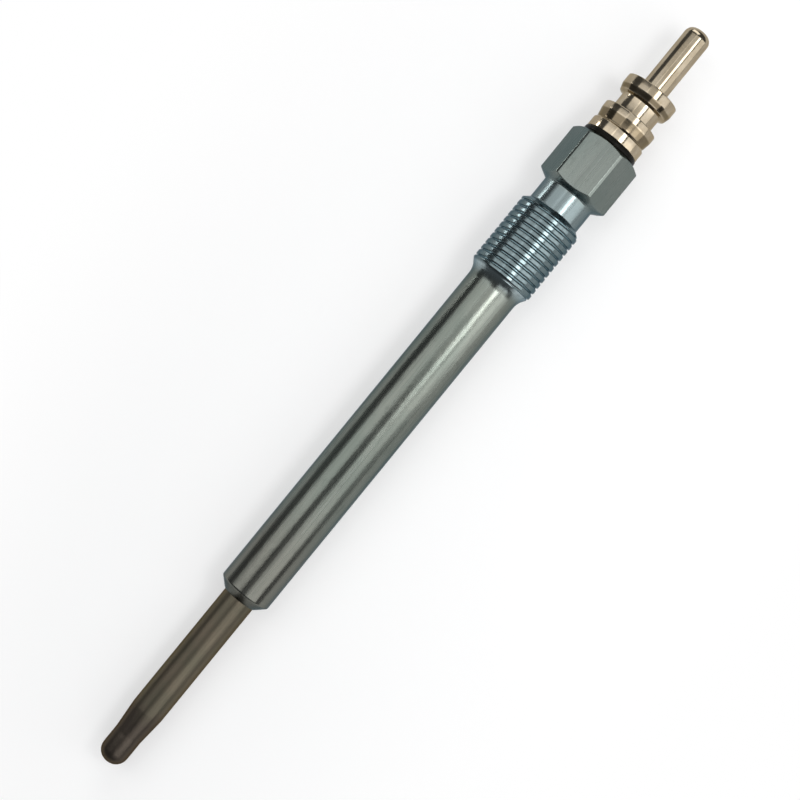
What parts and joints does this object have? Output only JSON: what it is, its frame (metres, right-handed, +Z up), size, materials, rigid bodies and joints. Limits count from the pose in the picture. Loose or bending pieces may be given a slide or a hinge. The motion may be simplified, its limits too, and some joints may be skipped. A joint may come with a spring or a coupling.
{
  "type": "diesel glow plug",
  "caption": "Slim sheathed-element glow plug with a long plain barrel, fine thread, hexagon and round-pin terminal, for pre-heating a diesel engine's cylinder.",
  "frame": {"origin": "on the bench, under the middle of the plug's bounding box, with the plug lying on its side", "axes": "+X along the plug towards the terminal, +Z up; the plug's own axis rises 0.96 degrees towards +X"},
  "size_m": [0.132, 0.0114, 0.0103],
  "materials": {
    "zinc_plate": "bright zinc plate with a pale blue passivation",
    "tube_alloy": "matte brown nickel alloy, darker at the tip",
    "nickel_plate": "warm bright nickel plate",
    "black_plastic": "glossy black moulding",
    "seal_rubber": "matte black rubber",
    "coil_wire": "drawn resistance wire",
    "magnesia": "compacted white powder",
    "pin_steel": "drawn bright steel"
  },
  "bodies": {
    "root": {"plug_body": "zinc_plate", "glow_tube": "tube_alloy", "heating_coil": "coil_wire", "control_coil": "coil_wire", "insulating_powder": "magnesia", "heater_seal": "seal_rubber", "connecting_pin": "pin_steel", "o_ring": "seal_rubber", "insulating_washer": "black_plastic", "terminal": "nickel_plate"}
  },
  "joints": []
}
